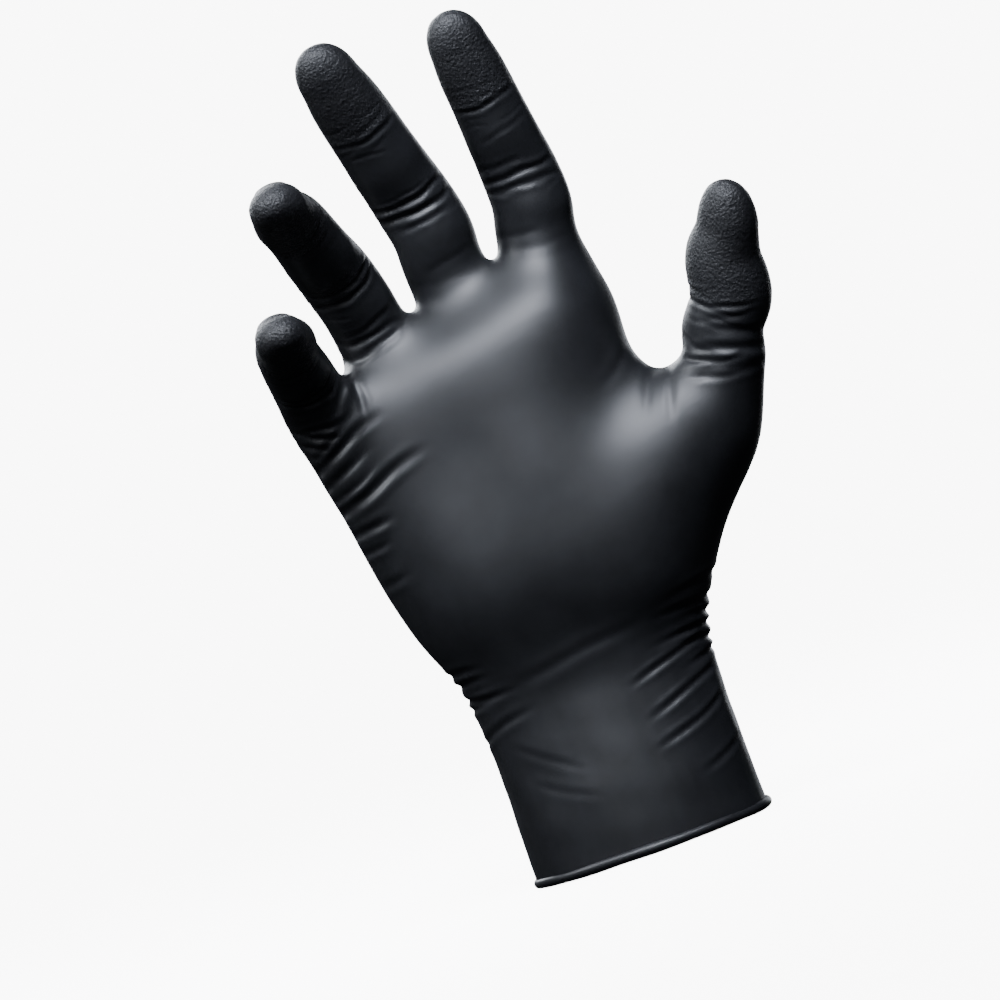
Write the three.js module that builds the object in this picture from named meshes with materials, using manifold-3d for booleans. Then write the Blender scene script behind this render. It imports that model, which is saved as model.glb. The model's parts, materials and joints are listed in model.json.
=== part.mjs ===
// A disposable dipped glove for a right hand, in the shape it holds when it is worn: palm towards -Y, fingers
// up and half curled. The film is one dipped skin with a rolled bead at its edge. It is divided here at the
// folds where it bends, so that the wrist and every knuckle of the glove can turn. Each region is a hollow
// shell. Millimetres and degrees. +Z runs up the forearm, and the origin is the middle of the opening, at the
// bead's edge.
import * as THREE from 'three';
import { mergeVertices } from 'three/addons/utils/BufferGeometryUtils.js';
import Module from 'manifold-3d';

const wasm = await Module();
wasm.setup();

// Driving dimensions
const WALL = 0.8; // the shell that stands for the film
const GAP = 0.3; // between neighbouring regions
const CLEAR = 1.2; // what a finger keeps clear beside it at its root
const PIVOT_SHARE = 0.45; // a hinge's distance from a finger's middle, palmward, as a share of half its depth
const FLATNESS = 0.9; // a finger's depth as a share of its width
const AROUND = 18; // sides of a finger
const TIP_STEPS = 5; // rings of a fingertip's round end
const TIP_LENGTH = 1.25; // its length as a share of the tip's half width
const REACH = 60; // size of the blocks that trim a region, larger than any cross-section
const SPARE = 6; // how far a finger's region runs past its folds before they are cut
const SWEEP_STEPS = 4; // steps in which a finger sweeps out its room at the palm

// The opening and the forearm
const CUFF = { halfWidth: 32.5, halfDepth: 23.5, wristHalfWidth: 33.4, sides: 36 };
// The rolled edge, and half the width of the flat it rests on
const BEAD = { radius: 1.5, flat: 1, corners: 7 };
const WRIST = { height: 52, turn: 40 }; // the wrist's fold line, and how far it turns each way
// The palm's end in the cuff
const BALL = { halfWidth: 31, radius: 20.5, below: 14, above: 9, steps: 4, sides: 28 };

// Sections of the hand between the wrist and the knuckles: the left and right edge, and the depth
const PALM_SECTIONS = [
  { left: [-31.6, 0, 52], right: [31.6, 0, 52], depth: 42.6 },
  { left: [-36, -0.8, 60], right: [37.4, -0.8, 60], depth: 42 },
  { left: [-40.6, -1, 72], right: [45.5, -2, 71], depth: 40 },
  { left: [-44.2, -1, 86], right: [54.5, -3, 85], depth: 37 },
  { left: [-46.6, -1, 99], right: [61.5, -3, 97], depth: 34 },
  { left: [-48.4, -1.5, 111], right: [58, 0, 107], depth: 31 },
  { left: [-49.6, -2, 121], right: [45, 3, 120], depth: 29 },
  { left: [-50.6, -2.5, 129], right: [38.5, 4.5, 134], depth: 27.5 },
  { left: [-51, -3, 134], right: [37, 5, 148], depth: 25 },
  { left: [-49.5, -3.5, 138], right: [35.5, 5, 156], depth: 20 },
  { left: [-46, -3.5, 140.5], right: [31.5, 4.5, 159.5], depth: 10 },
];
const SECTION_POINTS = 30;
const SECTION_SQUARENESS = 2.5; // exponent of the superellipse

// Each finger: the middle of its root fold; the direction of each region from there, as its lean to the side
// and its tilt forwards; how far its hinges are turned about it; the length of each region; the width at each
// fold and near the tip; how far each fold turns, back and towards the palm; and how far its stub runs down
// into the palm.
const FINGERS = {
  index: {
    root: [26.6, 3, 166], leans: [5, -6, -7], tilts: [8, 18, 22], roll: 4,
    lengths: [18.4, 23, 27.5],
    widths: [21.4, 20.4, 18.6, 17.2], turns: [[-8, 40], [-10, 66], [-5, 33]], stub: 20,
  },
  middle: {
    root: [0.2, 4, 166.5], leans: [-5, -15, -15], tilts: [11, 25, 29], roll: 6,
    lengths: [20.5, 25.5, 29.3],
    widths: [22, 21.2, 20, 18], turns: [[-11, 38], [-14, 66], [-7, 33]], stub: 20,
  },
  ring: {
    root: [-24.2, 0.5, 157], leans: [-12, -20, -20], tilts: [25, 50, 60], roll: 6,
    lengths: [17.5, 24.5, 27],
    widths: [20.6, 20, 18.4, 16.8], turns: [[-20, 28], [-25, 54], [-12.5, 27]], stub: 16,
  },
  little: {
    root: [-44.8, -5.5, 140.5], leans: [-7, -9, -9], tilts: [45, 67, 73], roll: 4,
    lengths: [14.5, 18.5, 24],
    widths: [18.4, 17.6, 16.6, 15.4], turns: [[-22, 14], [-22, 56], [-11, 28]], stub: 12,
  },
};
const THUMB = {
  root: [62.8, -9, 117], leans: [24, 16], tilts: [14, 22], roll: 35, lengths: [17.5, 34],
  widths: [23.6, 22.4, 18.6], turns: [[-12, 25], [-18, 45]], stub: 26,
};
const REGIONS = { 2: ['lower', 'tip'], 3: ['lower', 'middle', 'tip'] };

const radians = THREE.MathUtils.degToRad;

// A closed geometry as a solid to cut and join.
function solid(geometry) {
  const bare = geometry.index ? geometry.toNonIndexed() : geometry.clone();
  bare.deleteAttribute('normal');
  bare.deleteAttribute('uv');
  const merged = mergeVertices(bare, 1e-4);
  const vertProperties = merged.attributes.position.array;
  return new wasm.Manifold(new wasm.Mesh({ numProp: 3, vertProperties, triVerts: merged.index.array }));
}

// The geometry of a solid.
function geometryOf(body) {
  const mesh = body.getMesh();
  const geometry = new THREE.BufferGeometry();
  geometry.setAttribute('position', new THREE.BufferAttribute(mesh.vertProperties, 3));
  geometry.setIndex(new THREE.BufferAttribute(mesh.triVerts, 1));
  return geometry;
}

// A body turned about +Z from points of radius and height, then flattened front to back.
function turned(profile, sides, flatness) {
  const points = profile.map(([radius, height]) => new THREE.Vector2(radius, height));
  return solid(new THREE.LatheGeometry(points, sides).rotateX(Math.PI / 2).scale(1, flatness, 1));
}

// A closed skin over rings of points, each ring running the same way round, with a flat cap at both ends.
function loft(rings) {
  const count = rings[0].length;
  const points = rings.flat();
  const index = [];
  for (let r = 0; r + 1 < rings.length; r++) {
    for (let i = 0; i < count; i++) {
      const a = r * count + i;
      const b = r * count + ((i + 1) % count);
      index.push(a, b, b + count, a, b + count, a + count);
    }
  }
  const last = (rings.length - 1) * count;
  for (let i = 1; i + 1 < count; i++) {
    index.push(0, i + 1, i, last, last + i, last + i + 1);
  }
  const geometry = new THREE.BufferGeometry().setFromPoints(points);
  geometry.setIndex(index);
  return solid(geometry);
}

// A block that trims away everything above a plane through point, once it is turned about the x axis there.
function above(point, turn) {
  const block = new THREE.BoxGeometry(2 * REACH, 2 * REACH, REACH).translate(0, 0, REACH / 2);
  return solid(block.rotateX(radians(turn)).translate(...point));
}

// The same for everything below the plane.
function below(point, turn) {
  const block = new THREE.BoxGeometry(2 * REACH, 2 * REACH, REACH).translate(0, 0, -REACH / 2);
  return solid(block.rotateX(radians(turn)).translate(...point));
}

const film = new THREE.MeshStandardMaterial({ color: 0x121316, roughness: 0.5, metalness: 0 });
const grip = new THREE.MeshStandardMaterial({ color: 0x0e0f12, roughness: 0.6, metalness: 0 });

function region(name, body, material = film) {
  const mesh = new THREE.Mesh(geometryOf(body), material);
  mesh.name = name;
  return mesh;
}

// A straight sleeve along +Z between two folds, open at both ends, longer than it is once its folds are cut.
function sleeve(length, widths) {
  const [start, end] = widths.map((width) => width / 2);
  const grow = (end - start) / length;
  const tube = (inset, from, to) => {
    const first = start + grow * from - inset;
    const last = start + grow * to - inset;
    return turned([[0, from], [first, from], [last, to], [0, to]], AROUND, FLATNESS);
  };
  return tube(0, -SPARE, length + SPARE).subtract(tube(WALL, -SPARE - 1, length + SPARE + 1));
}

// A fingertip: open at its fold, closed and round at its end.
function fingertip(length, widths) {
  const [fold, pad] = widths.map((width) => width / 2);
  const dome = (radius, top) => Array.from({ length: TIP_STEPS + 1 }, (_, i) => {
    const angle = (i / TIP_STEPS) * (Math.PI / 2);
    return [radius * Math.cos(angle), top - pad * TIP_LENGTH * (1 - Math.sin(angle))];
  });
  const outer = [[0, -SPARE], [fold, -SPARE], ...dome(pad, length)];
  const inner = [[0, -SPARE - 1], [fold - WALL, -SPARE - 1], ...dome(pad - WALL, length - WALL)];
  return turned(outer, AROUND, FLATNESS).subtract(turned(inner, AROUND, FLATNESS));
}

// How far a hinge lies from the middle of a finger of this width.
const pivotBelow = (width) => (PIVOT_SHARE * FLATNESS * width) / 2;

// The frame of one region of a finger: +Z along it, +Y out of the back of the finger, +X along its hinge.
function regionFrame(lean, tilt, roll) {
  const along = new THREE.Vector3(0, 0, 1)
    .applyAxisAngle(new THREE.Vector3(1, 0, 0), radians(tilt))
    .applyAxisAngle(new THREE.Vector3(0, 1, 0), radians(lean));
  const palmward = new THREE.Vector3(-Math.sin(radians(roll)), -Math.cos(radians(roll)), 0);
  palmward.addScaledVector(along, -palmward.dot(along)).normalize();
  const hinge = new THREE.Vector3().crossVectors(along, palmward);
  return new THREE.Matrix4().makeBasis(hinge, palmward.clone().negate(), along);
}

// The frame of a finger's root, standing at the middle of its fold.
function rootFrame({ root, leans, tilts, roll }) {
  return regionFrame(leans[0], tilts[0], roll).setPosition(...root);
}

// The frames of a finger's regions, each standing at its hinge.
function hingeFrames(spec) {
  const { lengths, widths, leans, tilts, roll } = spec;
  const pivotAt = new THREE.Vector3(0, -pivotBelow(widths[0]), 0).applyMatrix4(rootFrame(spec));
  return lengths.map((length, i) => {
    const frame = regionFrame(leans[i], tilts[i], roll).setPosition(pivotAt);
    pivotAt.set(0, pivotBelow(widths[i]) - pivotBelow(widths[i + 1]), length).applyMatrix4(frame);
    return frame;
  });
}

// The frame of a fold: at its pivot, +X along its hinge, +Z halfway between the regions that it joins.
function foldFrame(before, after) {
  const axis = (matrix, i) => new THREE.Vector3().setFromMatrixColumn(matrix, i);
  const hinge = axis(after, 0);
  const along = axis(before, 2).add(axis(after, 2));
  along.addScaledVector(hinge, -along.dot(hinge)).normalize();
  const back = new THREE.Vector3().crossVectors(along, hinge);
  return new THREE.Matrix4().makeBasis(hinge, back, along).copyPosition(after);
}

// What a fold takes off the region before it, so that the one beyond it can turn from least to most.
function foldAbove(fold, [least, most]) {
  const block = above([0, 0, -GAP / 2], most / 2).add(above([0, 0, -GAP / 2], least / 2));
  return block.transform(fold.elements);
}

// What a fold takes off the region beyond it.
function foldBelow(fold, [least, most]) {
  const block = below([0, 0, GAP / 2], -most / 2).add(below([0, 0, GAP / 2], -least / 2));
  return block.transform(fold.elements);
}

// A finger's regions on nested hinges. Every hinge is a group at its pivot, with its x axis along the hinge.
function finger(name, spec) {
  const { lengths, widths, turns } = spec;
  const frames = hingeFrames(spec);
  const base = new THREE.Group();
  let parent = base;
  lengths.forEach((length, i) => {
    const isTip = i === lengths.length - 1;
    const pair = [widths[i], widths[i + 1]];
    const fold = foldFrame(i ? frames[i - 1] : frames[0], frames[i]);
    let body = (isTip ? fingertip(length, pair) : sleeve(length, pair))
      .translate([0, pivotBelow(widths[i]), 0])
      .transform(frames[i].elements)
      .subtract(foldBelow(fold, turns[i]));
    if (!isTip) {
      body = body.subtract(foldAbove(foldFrame(frames[i], frames[i + 1]), turns[i + 1]));
    }
    const part = REGIONS[lengths.length][i];
    const hinge = new THREE.Group();
    hinge.name = `${name}_${part}_hinge`;
    hinge.applyMatrix4(frames[i]);
    hinge.updateMatrixWorld(true);
    const local = body.transform(frames[i].clone().invert().elements);
    hinge.add(region(`${name}_${part}`, local, isTip ? grip : film));
    parent.attach(hinge);
    parent = hinge;
  });
  return base;
}

// The stub of the palm that a finger grows from, or the space inside it when inset is the wall.
function stub(spec, inset) {
  const radius = spec.widths[0] / 2 - inset;
  const top = inset ? 1 : -GAP / 2;
  const foot = -spec.stub + inset;
  const body = turned([[0, foot], [radius, foot], [radius, top], [0, top]], AROUND, FLATNESS);
  return body.transform(rootFrame(spec).elements);
}

// What is cut off the palm so that a finger can stand on its stub and turn.
function room(spec) {
  const [hingeFrame] = hingeFrames(spec);
  const [least, most] = spec.turns[0];
  const radius = spec.widths[0] / 2 + CLEAR;
  const reach = 2 * radius;
  const swept = turned([[0, -radius], [radius, -radius], [radius, reach], [0, reach]], AROUND, FLATNESS)
    .translate([0, pivotBelow(spec.widths[0]), 0]);
  let space = swept;
  for (let i = 0; i <= SWEEP_STEPS; i++) {
    space = space.add(swept.rotate([least + ((most - least) * i) / SWEEP_STEPS, 0, 0]));
  }
  return space.transform(hingeFrame.elements).intersect(foldAbove(hingeFrame, spec.turns[0]));
}

// A section of the palm, drawn in by inset.
function palmRing({ left, right, depth }, inset) {
  const middle = new THREE.Vector3(...left).lerp(new THREE.Vector3(...right), 0.5);
  const half = new THREE.Vector3(...right).sub(middle);
  const halfWidth = half.length() - inset;
  const side = half.normalize();
  return Array.from({ length: SECTION_POINTS }, (_, i) => {
    const angle = (i / SECTION_POINTS) * 2 * Math.PI;
    const power = 2 / SECTION_SQUARENESS;
    const across = Math.sign(Math.cos(angle)) * Math.abs(Math.cos(angle)) ** power;
    const back = Math.sign(Math.sin(angle)) * Math.abs(Math.sin(angle)) ** power;
    return middle.clone().addScaledVector(side, across * halfWidth)
      .add(new THREE.Vector3(0, back * (depth / 2 - inset), 0));
  });
}

// The end of the palm that turns inside the cuff: round about the wrist's line below it, straight above it.
function wristBall(inset) {
  const radius = BALL.radius - inset;
  const halfWidth = BALL.halfWidth - inset;
  const end = inset ? 1 : 0;
  const curve = Array.from({ length: BALL.steps + 1 }, (_, i) => {
    const height = -BALL.below * (1 - i / BALL.steps);
    return [halfWidth * Math.sqrt(1 - (height / radius) ** 2), height];
  });
  const foot = -BALL.below - end;
  const top = BALL.above + end;
  const profile = [[0, foot], [curve[0][0], foot], ...curve.slice(1), [halfWidth, top], [0, top]];
  return turned(profile, BALL.sides, radius / halfWidth).translate([0, 0, WRIST.height]);
}

// The palm: its hollow body, with a stub for every digit, room for each to turn, and its end in the cuff.
function palm() {
  const digits = [...Object.values(FINGERS), THUMB];
  const skin = PALM_SECTIONS.map((section) => palmRing(section, 0));
  const space = PALM_SECTIONS.map((section) => palmRing(section, WALL));
  const line = [0, 0, WRIST.height];
  let outside = loft(skin)
    .subtract(below(line, WRIST.turn / 2))
    .subtract(below(line, -WRIST.turn / 2));
  let inside = loft(space);
  for (const digit of digits) {
    outside = outside.add(stub(digit, 0));
    inside = inside.add(stub(digit, WALL));
  }
  for (const digit of digits) {
    outside = outside.subtract(room(digit));
  }
  return outside.subtract(inside).add(wristBall(0).subtract(wristBall(WALL)));
}

// The sleeve over the wrist, cut back at its top so that the palm can turn in it.
function cuff() {
  const foot = 2 * BEAD.radius + GAP;
  const flatness = CUFF.halfDepth / CUFF.halfWidth;
  const top = WRIST.height;
  const outer = [[0, foot], [CUFF.halfWidth, foot], [CUFF.wristHalfWidth, top], [0, top]];
  const inner = [[0, -1], [CUFF.halfWidth - WALL, -1], [CUFF.wristHalfWidth - WALL, top + 1], [0, top + 1]];
  const line = [0, 0, WRIST.height];
  return turned(outer, CUFF.sides, flatness)
    .subtract(turned(inner, CUFF.sides, flatness))
    .subtract(above(line, WRIST.turn / 2))
    .subtract(above(line, -WRIST.turn / 2));
}

// The rolled edge: a ring with a flat foot.
function bead() {
  const flatness = CUFF.halfDepth / CUFF.halfWidth;
  const centre = CUFF.halfWidth;
  const profile = Array.from({ length: BEAD.corners }, (_, i) => {
    const span = 2 * Math.PI - 2 * Math.asin(BEAD.flat / BEAD.radius);
    const angle = -Math.PI / 2 + Math.asin(BEAD.flat / BEAD.radius) + (span * i) / (BEAD.corners - 1);
    return [centre + BEAD.radius * Math.cos(angle), BEAD.radius + BEAD.radius * Math.sin(angle)];
  });
  const foot = Math.min(...profile.map(([, height]) => height));
  const grounded = profile.map(([radius, height]) => [radius, height - foot]);
  return turned([...grounded, grounded[0]], CUFF.sides, flatness);
}

const glove = new THREE.Group();
glove.add(region('cuff_bead', bead()), region('cuff', cuff()), region('palm', palm()));
for (const [name, spec] of Object.entries(FINGERS)) {
  glove.add(finger(name, spec));
}
glove.add(finger('thumb', THUMB));

export default glove;
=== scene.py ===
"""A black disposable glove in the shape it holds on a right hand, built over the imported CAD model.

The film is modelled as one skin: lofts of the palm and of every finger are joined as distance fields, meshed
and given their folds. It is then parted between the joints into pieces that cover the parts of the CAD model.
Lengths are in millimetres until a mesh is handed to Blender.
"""

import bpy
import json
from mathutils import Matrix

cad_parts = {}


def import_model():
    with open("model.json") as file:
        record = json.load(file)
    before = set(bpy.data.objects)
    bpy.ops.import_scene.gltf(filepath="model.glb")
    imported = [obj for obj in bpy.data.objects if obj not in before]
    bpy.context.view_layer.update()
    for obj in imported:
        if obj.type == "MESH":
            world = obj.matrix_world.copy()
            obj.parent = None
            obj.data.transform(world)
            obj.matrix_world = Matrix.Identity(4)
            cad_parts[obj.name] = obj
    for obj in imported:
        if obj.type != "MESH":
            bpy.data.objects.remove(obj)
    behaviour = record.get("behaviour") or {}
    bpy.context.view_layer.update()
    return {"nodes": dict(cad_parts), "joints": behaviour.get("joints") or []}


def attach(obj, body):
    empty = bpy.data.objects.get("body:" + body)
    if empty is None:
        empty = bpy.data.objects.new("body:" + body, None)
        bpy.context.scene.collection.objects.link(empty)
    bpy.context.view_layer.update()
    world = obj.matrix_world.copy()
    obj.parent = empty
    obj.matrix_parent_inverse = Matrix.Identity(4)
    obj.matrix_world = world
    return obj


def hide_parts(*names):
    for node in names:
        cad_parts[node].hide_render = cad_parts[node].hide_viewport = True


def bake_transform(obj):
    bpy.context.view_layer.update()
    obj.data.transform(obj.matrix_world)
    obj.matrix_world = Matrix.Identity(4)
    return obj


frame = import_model()

import json
import math

import bpy
import numpy as np
import openvdb
from mathutils import Matrix, Vector

MM = 0.001
FINGERS = ("index", "middle", "ring", "little")
DIGITS = FINGERS + ("thumb",)

# The skin
VOXEL = 1.2
BAND = 15  # how many voxels of distance are kept on both sides of a surface
AROUND = 40  # points round a loft
LOWEST = (-64, -70, -6)
HIGHEST = (96, 34, 244)
GRID_START = tuple(int(low // VOXEL) for low in LOWEST)
GRID_SIZE = tuple(math.ceil((high - low) / VOXEL) for low, high in zip(LOWEST, HIGHEST))
HAND_STEPS = 5  # sections drawn from each of the hand's to the next
DIGIT_STEPS = 6  # the same along a digit
SMOOTHING = 8  # rounds that take the grid's steps out of the skin
STRETCHING = 170  # rounds that draw the film smooth over the palm

# Each digit's half widths: deep in the palm, at its knuckle, at its root, halfway to the next fold, at that
# fold, and so on to the fingertip's pad
HALF_WIDTHS = {
    "index": (6.5, 10.4, 10.8, 10.6, 10.4, 9.6, 9.2, 8.9, 7.9),
    "middle": (6.5, 10.6, 10.8, 10.8, 10.8, 10.1, 9.8, 9.4, 8.3),
    "ring": (6.5, 10.1, 10.0, 9.8, 10.0, 9.4, 9.0, 8.5, 7.6),
    "little": (6, 8.4, 8.7, 8.9, 9.0, 8.5, 8.1, 7.8, 7.0),
    "thumb": (6, 9.6, 10.2, 10.2, 10.6, 10.2, 8.0),
}
DEPTH = 0.92  # a finger's depth as a share of its width
TIP_DEPTH = 0.84  # the same at the fingertip
FLATTENING = 12  # the last sections of a digit, over which its depth comes down to the fingertip's
ROUNDNESS = 2.1  # the power that rounds a digit's sections and its end: 2 is an ellipse
DOME = 0.42  # the rounded share of a fingertip's length
DOME_SECTIONS = 9
DOME_END = 0.03  # the last section's size as a share of the first's
TIP_DROP = 1.2  # how far a fingertip's end lies from its line towards the palm
PAD_STATION = 0.3  # where a fingertip is drawn through after its fold, as a share of its length
TIP_AIM = {  # the way each fingertip points: its lean to the side and its tilt towards the palm, in degrees
    "index": (-7, 22), "middle": (-15, 29), "ring": (-25, 66), "little": (7, 75), "thumb": (16.5, 22),
}
TIP_TRIM = {"index": 1.6, "middle": 1.8, "ring": 2.6, "little": 1.6, "thumb": 1.2}  # off the CAD fingertip
PIVOT_SHARE = 0.45  # how far a hinge lies from a finger's middle towards the palm, in its half depths
KNUCKLE = {  # from a digit's root back to its knuckle, and how far that lies to the side of the line
    "index": (24, 0), "middle": (24, 0), "ring": (20, 0), "little": (14, 4.5), "thumb": (25, -3.5),
}
# How far the middle of each digit's first part lies to the side, and the same for its fingertip's start
SIDEWAYS = {"index": 1.1, "middle": 1.3, "ring": 0.6, "little": 0, "thumb": -1.7}
TIP_SIDEWAYS = {"index": 0, "middle": 0, "ring": -0.5, "little": 0.8, "thumb": -1.8}
BONES = {  # where each digit's line starts deep in the hand
    "index": (12, 2, 92), "middle": (3, 3, 92), "ring": (-8, 3, 92), "little": (-18, 0, 92),
    "thumb": (24, -3, 84),
}

# Sections of the forearm and hand: the left edge, the right edge, the depth and the shape's exponent
HAND = (
    ((-33.2, 0, -4), (33.2, 0, -4), 48, 2.1),
    ((-33, 0, 3), (33, 0, 3), 47.4, 2.1),
    ((-32.8, 0, 18), (32.8, 0, 18), 45.5, 2.1),
    ((-32.6, 0, 34), (32.8, 0, 34), 41, 2.1),
    ((-33.4, 0, 48), (33.6, 0, 48), 37.5, 2.15),
    ((-34.9, -1, 59), (36.8, -1.2, 59), 37, 2.2),
    ((-39, -2, 72), (43.6, -3, 71), 38, 2.3),
    ((-43, -2, 86), (51.5, -4, 85), 37, 2.35),
    ((-45.2, -2, 99), (57.5, -4, 97), 34.5, 2.4),
    ((-46.6, -2, 111), (54.5, -1, 107), 31.5, 2.4),
    ((-47, -2.3, 121), (44, 2.4, 120), 28.5, 2.4),
    ((-46.6, -2.2, 129), (38, 4, 134), 25.5, 2.4),
    ((-45.5, -2.5, 134), (35.5, 5, 145), 21, 2.3),
    ((-43, -3, 137), (32, 4.5, 152), 14, 2.2),
)
# The ball of the thumb, that of the little finger, the middle of the palm, its upper part and the row of pads
# under the fingers: each one's two ends and two radii
MOUNDS = (
    ((21, -9, 81), (48, -10.5, 105), 13.5, 12),
    ((-21, -7, 82), (-31, -5, 118), 13, 10.5),
    ((0, -6, 86), (-2, -3.5, 132), 13, 11.5),
    ((10, -5.5, 110), (22, -3, 140), 12.5, 11),
    ((22, -3.5, 145), (-24, -4.2, 133), 9, 9),
)
WEBS = (  # the film that joins neighbouring fingers and spans their knuckles: two ends, two radii
    ((22, 5, 145.8), (3, 5.5, 146.3), 6.4, 6.4),
    ((-2, 5, 148), (-21, 2, 144), 6.4, 6.4),
    ((-26, 0, 141), (-42, -5, 133.5), 7.2, 6.8),
    ((22, 5.5, 141), (-22, 4, 136), 9.5, 9.5),
    ((-18, 4, 136), (-38, 1, 126), 9.5, 8.5),
)
FILLETS = {"mound": 17, "web": 8, "finger": 6, "palm": 10, "thumb": 11}  # the reach of each kind of join

# The folds of the film. Each crease of a digit lies at one of its folds: its offset along the digit from
# there, its width and depth, the turn round the digit of its middle and its reach to both sides in degrees,
# and its slant.
CREASES = {
    "index": (
        ((-1, 1.1, 0.06, 10, 60, 0.8), (3, 1.0, 0.1, -30, 50, -0.6)),
        ((0.8, 0.85, 0.42, 0, 95, 0.5), (-2.6, 0.9, 0.36, 5, 85, -0.4), (4.2, 0.8, 0.16, -30, 55, 1)),
        ((-0.5, 0.75, 0.3, 0, 90, 0.3), (-9, 0.8, 0.14, 10, 60, 0.8)),
    ),
    "middle": (
        ((-1, 1.1, 0.05, -10, 60, -0.8), (3.4, 1.0, 0.1, 20, 50, 0.6)),
        ((2.2, 0.85, 0.5, 0, 95, 0.4), (-1.4, 0.95, 0.55, 0, 95, -0.3), (-4.6, 0.8, 0.22, 10, 60, 0.8)),
        ((-0.8, 0.75, 0.32, 0, 90, -0.3), (2.4, 0.7, 0.14, 20, 55, 0.6)),
    ),
    "ring": (
        ((0, 1.0, 0.42, -10, 90, 1.2), (3.2, 0.9, 0.4, 0, 85, -1), (6.2, 0.85, 0.3, 10, 70, 0.8)),
        ((-1.2, 0.85, 0.5, 0, 100, 0.6), (2.4, 0.85, 0.55, 0, 100, -0.5), (5.2, 0.8, 0.26, -20, 60, 1)),
        ((2.8, 0.7, 0.34, 0, 75, 0.5), (-0.6, 0.7, 0.26, -10, 85, -0.8)),
    ),
    "little": (
        ((-1.6, 0.9, 0.42, 0, 95, 1), (1.4, 0.85, 0.5, 0, 95, -0.8), (4.2, 0.8, 0.4, 10, 80, 0.6)),
        ((-1.4, 0.8, 0.45, 0, 100, -0.6), (1.8, 0.8, 0.45, 0, 95, 0.6)),
        ((0.4, 0.7, 0.32, 0, 90, 0.4), (-3, 0.7, 0.2, 10, 70, 0.5)),
    ),
    "thumb": (
        ((-1.5, 1.0, 0.3, 30, 60, 3), (2, 0.85, 0.4, 5, 60, 2), (5, 0.8, 0.14, -25, 50, -2)),
        ((-0.8, 0.7, 0.34, 0, 85, 0.8), (-3.4, 0.8, 0.16, 25, 55, 1.8), (-6, 0.7, 0.1, -20, 45, -1.5)),
    ),
}
FINE_CREASES = 7  # faint short ones about every fold but the root's
FINE_RANGES = ((-6, 6), (0.45, 0.7), (0.07, 0.15), (-55, 55), (20, 45), (-2.5, 2.5))
BACK_CREASES = 4  # faint ones on the back of every fold, with the same ranges, their turn to either side
BACK_RANGES = ((-5, 5), (0.6, 0.9), (0.1, 0.2), (140, 180), (30, 50), (-1.5, 1.5))
DIGIT_EDGE = (1.2, 1.45)  # from a digit's middle line in half widths, where its creases fade out
KNUCKLE_HEIGHT = 0.5
KNUCKLE_LENGTH = 5.5
PAD_HEIGHT = 0.55
PAD_PLACE = (0.5, 0.56)  # a pad's middle as a share of its part's length, and the same on the fingertip
PAD_LENGTH = 0.26
NAIL_HEIGHT = 0.4
NAIL_SIDE = 0.72  # its half width, in the fingertip's half widths
NAIL_END = 0.85  # its half length
NAIL_PLACE = 1.35  # its middle, back from the fingertip's end

# Creases drawn on the palm and on the back of the hand, each from the edge that it starts at: its line in
# X and Z, its width and its depth
PALM_STROKES = (
    (((-51, 126), (-44, 129.5), (-36, 133.5), (-27, 136)), 1.3, 0.75),
    (((-50, 129.5), (-43, 133.5), (-36, 138)), 1.0, 0.45),
    (((-50.5, 121), (-42, 124.5), (-33, 129)), 1.1, 0.5),
    (((-49.5, 113), (-40, 116), (-30, 120.5), (-19, 123.5)), 1.4, 0.8),
    (((-49, 117), (-41, 119.5), (-34, 123.5)), 0.95, 0.45),
    (((-48.5, 106.5), (-42, 107.2), (-34, 108.5)), 1.2, 0.65),
    (((-48, 101), (-42, 101.5), (-37, 102.6)), 1.0, 0.4),
    (((-46, 91), (-41, 91.5), (-35, 93)), 1.2, 0.3),
    (((75, 117), (67, 119), (58, 122), (52, 121)), 1.2, 0.55),
    (((75, 113), (66, 114), (57, 116.5), (49, 115)), 1.1, 0.3),
    (((76, 122), (69, 123.5), (61, 127)), 0.9, 0.35),
    (((44, 124), (40, 117), (36, 108)), 1.3, 0.22),
    (((48, 121), (45, 113), (42, 104)), 1.2, 0.22),
    (((40, 131), (34, 125), (27, 121)), 1.3, 0.2),
    (((-13, 161), (-15, 156), (-18, 151)), 1.0, 0.14),
    (((-34, 148), (-33, 141), (-34, 133)), 1.1, 0.4),
    (((-35, 148), (-39, 142), (-42, 137)), 1.0, 0.35),
)
BACK_STROKES = (
    (((36, 146), (24, 148), (14, 145), (4, 150)), 1.6, 0.3),
    (((-2, 150), (-14, 145), (-24, 146)), 1.5, 0.3),
    (((60, 100), (50, 106), (42, 114), (38, 124)), 2.2, 0.25),
    (((62, 109), (54, 110), (45, 113)), 1.8, 0.2),
    (((-46, 96), (-36, 100), (-24, 98)), 1.6, 0.3),
    (((-47, 104), (-38, 109), (-28, 110)), 1.5, 0.3),
    (((44, 80), (34, 86), (22, 88)), 1.8, 0.35),
    (((46, 74), (35, 78), (22, 79)), 1.6, 0.35),
    (((14, 160), (14, 150), (13, 138)), 1.5, 0.35),
    (((-13, 158), (-12, 148), (-11, 136)), 1.5, 0.35),
    (((-34, 148), (-31, 138), (-28, 128)), 1.4, 0.35),
)
EDGE_STROKES = 0.75  # how strongly a crease stands at the edge that it starts at

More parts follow.
